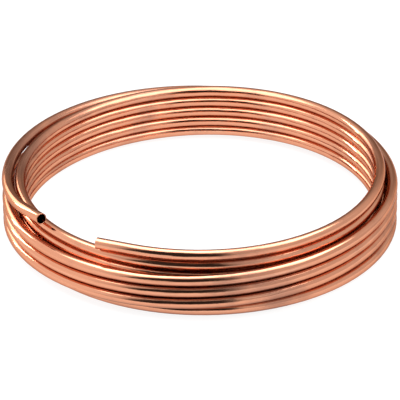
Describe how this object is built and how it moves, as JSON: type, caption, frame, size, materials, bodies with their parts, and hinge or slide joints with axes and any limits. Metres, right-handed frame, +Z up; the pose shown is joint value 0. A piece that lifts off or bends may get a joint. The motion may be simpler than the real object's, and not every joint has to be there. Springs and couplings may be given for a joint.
{
  "type": "copper tube coil",
  "caption": "Coil of soft copper tube, wound as an inner and an outer column of turns, with both cut ends free.",
  "frame": {"origin": "on the floor the coil lies on, under the middle of its box", "axes": "+Z up, along the coil's own axis; -Y is the side where both cut ends lie, to the left"},
  "size_m": [0.3564, 0.3565, 0.0633],
  "materials": {
    "copper": "polished"
  },
  "bodies": {
    "root": {"copper_tube": "copper"}
  },
  "joints": []
}
